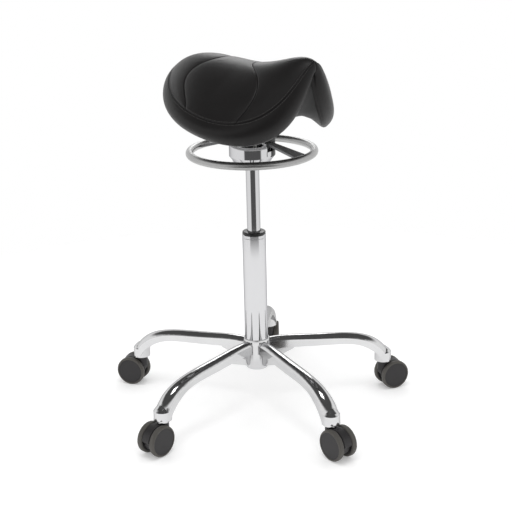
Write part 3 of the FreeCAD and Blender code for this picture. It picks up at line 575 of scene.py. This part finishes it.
def lever_bar(start, side):
    """A bar from its start in the hub out to the ring, in front at side -1, behind at 1."""
    def where(x, y, z):
        across = (2 * x - 1) * mixed(BAR_ROOT_HALF, BAR_TIP_HALF, y)
        reach = mixed(start, math.sqrt(RING_INSIDE ** 2 - across ** 2), y)
        if reach < CREST_AT:
            climb = (reach - start) / (CREST_AT - start)
            height = mixed(HUB_HEIGHT, CREST_HEIGHT, climb ** 2 * (3 - 2 * climb))
        else:
            height = mixed(CREST_HEIGHT, RING_HEIGHT,
                           (reach - CREST_AT) / (RING_INSIDE - CREST_AT))
        thick = mixed(BAR_ROOT_THICK, BAR_TIP_THICK, y)
        return by_lever(across, side * reach, height + (z - 0.5) * thick)

    return bent_block((9, 34), where, BAR_BEVEL)


for name, start, side, spoke in (("front_bar", FRONT_START, -1, "front_spoke"),
                                 ("rear_bar", REAR_START, 1, "rear_spoke")):
    bar = finished_piece(lever_bar(start, side), name, "lever", "dark_casting", crisp=35)
    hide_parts(spoke)
print("2 bars out to", RING_INSIDE, "mm")

# %% [markdown]
# ## Stop, guard and plate
#
# A black stop block rides on the lever beside the chrome cup. The cup's own side is covered
# there by a black guard in two heights, with a small bright plate next to it. Flat plates
# would cut into the cup, so each is a thin block bent round it.

# %% Stop, guard and plate
CUP_RADIUS, PLATE_GAP, PLATE_THICK, PLATE_BEVEL = 47.5, 0.08, 0.9, 0.25
STOP_CORNER, STOP_SIZE, STOP_BEVEL = (-2.0, -47.3, 591.0), (10.5, 6.5, 9.0), 0.6


def in_stop(*parts):
    return by_lever(*(low + size * part
                      for low, size, part in zip(STOP_CORNER, STOP_SIZE, parts)))


def on_cup(left, right, bottom, top):
    """A thin curved plate on the cup, between two sideways places and two heights."""
    def where(x, y, z):
        turn = math.asin(mixed(left, right, x) / CUP_RADIUS)
        out = CUP_RADIUS + PLATE_GAP + PLATE_THICK * z
        return by_lever(out * math.sin(turn), -out * math.cos(turn), mixed(bottom, top, y))

    return bent_block((10, 6), where, PLATE_BEVEL)


stop = finished_piece(bent_block((1, 1), in_stop, STOP_BEVEL), "stop_form", "lever",
                      "black_plastic", crisp=35)
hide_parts("stop_block")
for name, slot, left, right, bottom, top in (
        ("guard_low", "black_plastic", -1.0, 9.4, 561.0, 573.0),
        ("guard_side", "black_plastic", 9.6, 27.0, 561.0, 600.0),
        ("cup_plate", "chrome", -12.6, -1.2, 563.5, 573.2)):
    finished_piece(on_cup(left, right, bottom, top), name, "seat", slot, crisp=35)
print("a stop, a guard in two parts and a plate")

# %% [markdown]
# ## The saddle's edges
#
# The seat is a foam block in a leather cover. Seen from above it is a rounded triangle, and
# seen from the side it dips in the middle and rises to a peak in front. Two closed curves
# hold the whole form: the sewn seam round the top, and the rim where the leather turns
# under. They could be drawn point by point, but each is a short sum of waves in the angle
# round the seat, so it is smooth all over and the same on both sides. The numbers are those
# of the frame's own plain saddle, but for a rim that hangs a few millimetres lower at the
# sides, where the soft edge sags.

# %% Saddle edges
SEAM = ((5.0, 194.0, -18.5, -6.5), (0.0, 138.0, -9.0, -12.5), (702.0, 6.0, 44.5, 12.0, 4.5))
RIM = ((6.0, 189.0, -18.5, -8.5), (0.0, 127.0, -23.0, -21.0), (660.0, 6.0, 50.0, 16.5, 9.5))
SIDE_HALVINGS, MEETING_HALVINGS = 30, 40


def waves(sizes, angle, wave):
    return sizes[0] + sum(part * wave(order * angle) for order, part in enumerate(sizes[1:], 1))


def edge_point(line, angle):
    """A point of an edge line, as millimetres forward, sideways and up."""
    return Vector((waves(line[0], angle, math.cos), waves(line[1], angle, math.sin),
                   waves(line[2], angle, math.cos)))


def halving(before, low, high, times):
    """The place between low and high where a test turns from true to false."""
    for _ in range(times):
        middle = (low + high) / 2
        if before(middle):
            low = middle
        else:
            high = middle
    return (low + high) / 2


def side_angle(forward):
    """Where the seam is that far forward."""
    return halving(lambda angle: waves(SEAM[0], angle, math.cos) > forward, 0.0, math.pi,
                   SIDE_HALVINGS)


print("seam", round(edge_point(SEAM, 0).x - edge_point(SEAM, math.pi).x), "mm long and",
      round(2 * edge_point(SEAM, math.pi / 2).y), "mm wide")

# %% [markdown]
# ## The top surface
#
# Between its edges the top is a ridge along the middle that falls away to the seam on both
# sides, narrow at the peak and broad behind. Sculpting could give this form too, but a
# formula keeps both sides alike and answers for the height at any spot.

# %% Top surface
RIDGE = (753.3, 12.3, 4.3, -2.1)
ROUND_FRONT, ROUND_MIDDLE, ROUND_REAR, HALF_LENGTH = 0.29, 0.58, 1.67, 180.0


def ridge_height(forward):
    def rise(at):
        u = at / 100.0
        return RIDGE[0] + RIDGE[1] * u ** 2 + RIDGE[2] * u ** 3 + RIDGE[3] * u ** 4

    end = edge_point(SEAM, 0.0 if forward > 0 else math.pi)
    part = min(max(forward / end.x, 0.0), 1.0)
    return rise(forward) + (end.z - rise(end.x)) * part ** 6


@functools.lru_cache(maxsize=None)
def top_at(forward, sideways):
    """The top surface over a spot of the plan."""
    edge = edge_point(SEAM, side_angle(forward))
    across = min(abs(sideways) / max(edge.y, 0.01), 1.0)
    ends = max(-1.0, min(1.0, forward / HALF_LENGTH))
    target = ROUND_FRONT if ends > 0 else ROUND_REAR
    soft = ROUND_MIDDLE + (target - ROUND_MIDDLE) * abs(ends)
    fall = (math.hypot(across, soft) - soft) / (math.hypot(1.0, soft) - soft)
    ridge = ridge_height(forward)
    return Vector((forward, sideways, ridge - (ridge - edge.z) * fall))


print("ridge", round(ridge_height(0.0)), "mm high in the middle")

# %% [markdown]
# ## Border and underside
#
# Below the seam the side bulges outwards as padded leather does, and under the rim the form
# runs in to the flat that is bolted down. Both are worked out from the two edge curves, so
# they meet them exactly, which separate meshes would not.

# %% Border and underside
BULGE_SIDE, BULGE_FRONT, SMALL_TURN = 14.4, 7.6, 0.001
FLAT_LENGTH, FLAT_WIDTH, FLAT_HEIGHT, UNDER_CURVE = 94.0, 78.0, 640.5, 1.6


def band_at(angle, part):
    """The border band, from the seam at 0 to the rim at 1."""
    seam, rim = edge_point(SEAM, angle), edge_point(RIM, angle)
    along = edge_point(SEAM, angle + SMALL_TURN) - edge_point(SEAM, angle - SMALL_TURN)
    out = along.cross(rim - seam).normalized()
    if out.dot(seam - Vector((SEAM[0][0], 0, RIM[2][0]))) < 0:
        out = -out
    bulge = BULGE_SIDE + (BULGE_FRONT - BULGE_SIDE) * max(math.cos(angle), 0.0) ** 2
    return seam + (rim - seam) * part + out * (bulge * 4 * part * (1 - part))


def under_at(angle, part, lift):
    """The underside, from the bolted flat at 0 to the rim at 1."""
    rim = edge_point(RIM, angle)
    flat = Vector((FLAT_LENGTH * math.cos(angle), FLAT_WIDTH * math.sin(angle), 0))
    spot = flat + (Vector((rim.x, rim.y, 0)) - flat) * part
    spot.z = FLAT_HEIGHT + (rim.z - FLAT_HEIGHT) * part ** UNDER_CURVE + lift
    return spot


def place(spot):
    """From the saddle's own forward, sideways and up to the stool's axes, in metres."""
    return Vector((-spot.y, -spot.x, spot.z)) * MM


print("rim", round(edge_point(RIM, math.pi / 2).z), "mm high at the sides")

# %% [markdown]
# ## Where the panels are sewn
#
# Three pieces of leather make the top: one behind, one in the middle, one in front. Each
# cross seam is drawn in plan as forward distance against sideways distance, again as a
# short sum of waves. Where it meets the outer seam could be measured once and written down,
# but found by halving it stays right when either line is changed.

# %% Panel seams
REAR_LINE = (-77.1, -16.8, 23.8, -2.0)
FRONT_LINE = (71.1, -29.9, -22.1, -3.1)
WAVE_WIDTH = 160.0


def cross_line(line, sideways):
    return waves(line, math.pi * sideways / WAVE_WIDTH, math.cos)


def meeting_angle(line, low, high):
    """The outer seam's angle where a cross seam runs into it."""
    def ahead_of_line(angle):
        spot = edge_point(SEAM, angle)
        return spot.x > cross_line(line, spot.y)

    return halving(ahead_of_line, low, high, MEETING_HALVINGS)


front_angle = meeting_angle(FRONT_LINE, 0.6, 1.6)
rear_angle = meeting_angle(REAR_LINE, 1.2, 2.6)
front_reach = edge_point(SEAM, front_angle).y
rear_reach = edge_point(SEAM, rear_angle).y
print("cross seams meet the outer seam at", round(math.degrees(front_angle)), "and",
      round(math.degrees(rear_angle)), "degrees")

# %% [markdown]
# ## Panels in plan
#
# Each panel is a flat grid whose edges follow the seams round it, and neighbours share their
# seam's points, so that welding them gives one closed skin. The middle panel has four edges
# and is blended between them. The other two run straight from cross seam to outer seam.

# %% Panels in plan
COLUMNS, SIDE_COLUMNS = 150, 54


def ease(t):
    """Closer steps at both ends, where the leather rolls into its seams."""
    return (1 - math.cos(math.pi * t)) / 2


def crossing(line, reach, t):
    sideways = reach * math.cos(math.pi * t)
    return Vector((cross_line(line, sideways), sideways, 0))


def outer(start, end, t):
    spot = edge_point(SEAM, start + (end - start) * t)
    return Vector((spot.x, spot.y, 0))


def rear_panel(t, v):
    return crossing(REAR_LINE, rear_reach, t).lerp(
        outer(rear_angle, 2 * math.pi - rear_angle, ease(t)), v)


def front_panel(t, v):
    return crossing(FRONT_LINE, front_reach, t).lerp(outer(front_angle, -front_angle, ease(t)), v)


def middle_panel(t, v):
    """A patch with four edges: both cross seams and a stretch of the outer seam each side."""
    back, fore = crossing(REAR_LINE, rear_reach, t), crossing(FRONT_LINE, front_reach, t)
    near = outer(rear_angle, front_angle, v)
    far = Vector((near.x, -near.y, 0))
    u = ease(t)
    corners = (crossing(REAR_LINE, rear_reach, 0).lerp(crossing(REAR_LINE, rear_reach, 1), u)
               .lerp(crossing(FRONT_LINE, front_reach, 0)
                     .lerp(crossing(FRONT_LINE, front_reach, 1), u), v))
    return back.lerp(fore, v) + near.lerp(far, u) - corners


# %% [markdown]
# ## The cushion's top
#
# Cloth could be simulated over the foam, but the real cover is taut on a moulded form and
# its seams run on given lines, so the skin is laid straight on that form. Every point
# remembers how far it is from its nearest seam. Once the skin is whole its points sink along
# their own normals near the seams, which rolls the leather's edges into a crease and leaves
# the panels slightly full between them.

# %% Build the top
CREASE_DEPTH, CREASE_ROUND = 1.7, 3.2
FULLNESS, FULL_REACH, FULL_LEVEL = 1.5, 11.0, 0.35
REAR_ROWS, FRONT_ROWS = 34, 44


def sink(distance):
    """How far the leather lies below its full height, that far from a seam."""
    roll = max(1 - distance / CREASE_ROUND, 0.0)
    return (CREASE_DEPTH * (1 - math.sqrt(max(1 - roll ** 2, 0.0)))
            + FULLNESS * (math.exp(-distance / FULL_REACH) - FULL_LEVEL))


def add_patch(mesh, columns, rows, where, edges):
    """A grid laid on the form, each point keeping how far it is to sink."""
    grid = bmesh.ops.create_grid(mesh, x_segments=columns, y_segments=rows, size=0.5)
    for vert in grid["verts"]:
        t, v = vert.co.x + 0.5, vert.co.y + 0.5
        spot = where(t, v)
        nearest = min((spot - where(*edge(t, v))).length for edge in edges)
        vert.co = place(spot)
        vert[depth] = sink(nearest)


def on_top(plan):
    def where(t, v):
        spot = plan(t, ease(v))
        return top_at(spot.x, spot.y)
    return where


skin = bmesh.new()
depth = skin.verts.layers.float.new("depth")
ends = (lambda t, v: (t, 0.0), lambda t, v: (t, 1.0))
sides = (lambda t, v: (0.0, v), lambda t, v: (1.0, v))
add_patch(skin, COLUMNS, REAR_ROWS, on_top(rear_panel), ends)
add_patch(skin, COLUMNS, SIDE_COLUMNS, on_top(middle_panel), ends + sides)
add_patch(skin, COLUMNS, FRONT_ROWS, on_top(front_panel), ends)
print(len(skin.verts), "points on the top")

# %% [markdown]
# ## Border band, and closing the form
#
# Below the outer seam a border band goes all the way round, sewn up in front at the peak.
# It could be a strip of its own, but laid in four stretches whose columns match the panels
# above it welds to them without a gap. At the rim the leather folds under, ends behind the
# moulded shell's edge, and the foam goes on above the shell.

# %% Build the band and close the form
WRAP_PART, WRAP_LIFT, FOLD_ROUND, FOLD_DEPTH = 0.905, 17.4, 8.0, 2.2
BAND_ROWS, UNDER_ROWS, EVEN_SHARE = 26, 20, 0.65
FOLD_END, LIFT_ROWS, LIFT_END, WELD = 0.4, 0.1, 0.5, 0.00002


def down_band(v):
    """Closer steps near the seam above."""
    return (1 - EVEN_SHARE) * (1 - math.cos(math.pi * v / 2)) + EVEN_SHARE * v


def fold(distance):
    roll = max(1 - distance / FOLD_ROUND, 0.0)
    return FOLD_DEPTH * (1 - math.sqrt(max(1 - roll ** 2, 0.0)))


def band_stretch(start, end, columns, peak=False):
    def where(t, v):
        return band_at(start + (end - start) * ease(t), down_band(v))

    grid = bmesh.ops.create_grid(skin, x_segments=columns, y_segments=BAND_ROWS, size=0.5)
    for vert in grid["verts"]:
        t, v = vert.co.x + 0.5, vert.co.y + 0.5
        spot = where(t, v)
        nearest = (spot - where(t, 0.0)).length
        if peak:
            nearest = min(nearest, (spot - where(0.5, v)).length)
        vert.co = place(spot)
        vert[depth] = sink(nearest) + fold((spot - where(t, 1.0)).length)

    def below(t, v):
        angle = start + (end - start) * ease(t)
        if v <= FOLD_END:
            return under_at(angle, 1.0 - (1.0 - WRAP_PART) * v / FOLD_END, 0.0)
        if v <= LIFT_END:
            return under_at(angle, WRAP_PART, WRAP_LIFT * (v - FOLD_END) / LIFT_ROWS)
        return under_at(angle, WRAP_PART * (1 - (v - LIFT_END) / (1 - LIFT_END)), WRAP_LIFT)

    grid = bmesh.ops.create_grid(skin, x_segments=columns, y_segments=UNDER_ROWS, size=0.5)
    for vert in grid["verts"]:
        t, v = vert.co.x + 0.5, vert.co.y + 0.5
        spot = below(t, v)
        vert.co = place(spot)
        vert[depth] = fold((spot - below(t, 0.0)).length) if v < FOLD_END else 0.0


band_stretch(front_angle, -front_angle, COLUMNS, peak=True)
band_stretch(rear_angle, 2 * math.pi - rear_angle, COLUMNS)
band_stretch(rear_angle, front_angle, SIDE_COLUMNS)
band_stretch(-rear_angle, -front_angle, SIDE_COLUMNS)
bmesh.ops.remove_doubles(skin, verts=skin.verts, dist=WELD)
rest_of_edge = [edge for edge in skin.edges if edge.is_boundary]
bmesh.ops.holes_fill(skin, edges=rest_of_edge, sides=0)
bmesh.ops.recalc_face_normals(skin, faces=skin.faces)
skin.normal_update()
for vert in skin.verts:
    vert.co -= vert.normal * (vert[depth] * MM)
print(len(skin.verts), "points,", sum(edge.is_boundary for edge in skin.edges), "open edges")

# %% [markdown]
# ## Leather
#
# Smooth upholstery leather is close to black and shines softly. Up close it has a net of
# fine creases round small cells. A photograph of leather would show where it repeats, so a
# cell texture's edges give the net, and a slow noise gives the unevenness in how glossy the
# leather is where it has been stretched over the foam.

# %% Leather finish
def leather():
    paint = Paint("black_leather", Specular_IOR_Level=0.22, Coat_Weight=0.04, Coat_Roughness=0.25)
    cells = paint.node("ShaderNodeTexVoronoi", {"feature": "DISTANCE_TO_EDGE"},
                       {"Vector": paint.place, "Scale": 620.0})
    net = paint.node("ShaderNodeMapRange", (), {0: cells, 1: 0.0, 2: 0.16, 3: 0.0, 4: 1.0})
    fine = paint.noise(1900.0, 3.0)
    cloud = paint.noise(13.0, 4.0)
    creases = paint.noise(60.0, 5.0, (0.35, 1.6, 1.0))
    grain = paint.bump(net * 0.6 + fine * 0.4, 0.24, 0.00035,
                       paint.bump(creases, 0.12, 0.0015))
    return paint.finish(Base_Color=paint.blend(cloud, (0.006, 0.0055, 0.0055),
                                               (0.011, 0.010, 0.010)),
                        Roughness=paint.between(cloud, 0.31, 0.42) + (1 - net) * 0.08,
                        Normal=grain)


black_leather = leather()
surface = skin.copy()
cushion = finished_piece(skin, "saddle_cushion", "seat", "black_leather", black_leather)
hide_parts("foam_cushion", "leather_cover")
print(len(cushion.data.polygons), "faces under leather")

# %% [markdown]
# ## Double stitching
#
# The outer seam is felled and sewn twice, once on each side. A stitch is a short thread that
# dips into the leather at both ends. A dashed texture would lie flat, so each stitch is a
# small stretched sphere, laid on the nearest spot of the cushion.

# %% Stitches
THREAD_RADIUS, STITCH_LENGTH, STITCH_STEP, ROW_OFFSET = 0.5, 3.2, 4.2, 3.3
THREAD_LIFT, SEAM_SAMPLES = 0.1, 800
leather_tree = BVHTree.FromBMesh(surface)
threads = bmesh.new()


def sew(line, aside):
    """Lays stitches along line(t), moved to the side that aside(t) gives."""
    spots = []
    for index in range(SEAM_SAMPLES + 1):
        t = index / SEAM_SAMPLES
        spot, normal, _, _ = leather_tree.find_nearest(place(line(t) + aside(t)))
        spots.append((spot, normal))
    travelled, count = 0.0, 0
    for (here, normal), (following, _) in zip(spots, spots[1:]):
        travelled += (following - here).length
        if travelled < (count + 1) * STITCH_STEP * MM:
            continue
        count += 1
        along = (following - here).normalized()
        across = normal.cross(along).normalized()
        laid = Matrix((along, across, normal)).transposed().to_4x4()
        laid.translation = here + normal * (THREAD_LIFT * MM)
        size = Matrix.Diagonal((STITCH_LENGTH / 2 * MM, THREAD_RADIUS * MM, THREAD_RADIUS * MM, 1))
        bmesh.ops.create_uvsphere(threads, u_segments=6, v_segments=4, radius=1.0,
                                  matrix=laid @ size)
    return count


def toward(line, other):
    def aside(t):
        return (other(t) - line(t)).normalized() * ROW_OFFSET
    return aside


def whole_seam(t):
    return edge_point(SEAM, 2 * math.pi * t)


def just_inside(t):
    spot = whole_seam(t)
    inward = Vector((SEAM[0][0] - spot.x, -spot.y, 0)).normalized() * 2.0
    return top_at(spot.x + inward.x, spot.y + inward.y)


def just_below(t):
    return band_at(2 * math.pi * t, 0.05)


stitched = sew(whole_seam, toward(whole_seam, just_inside))
stitched += sew(whole_seam, toward(whole_seam, just_below))
thread_paint = Paint("thread", Roughness=0.6)
twist = thread_paint.noise(2600.0, 2.0)
thread = thread_paint.finish(
    Base_Color=thread_paint.blend(twist, (0.035, 0.033, 0.032), (0.075, 0.072, 0.07)),
    Normal=thread_paint.bump(twist, 0.3, 0.0003))
finished_piece(threads, "stitching", "seat", "black_leather", thread)
surface.free()
print(stitched, "stitches")
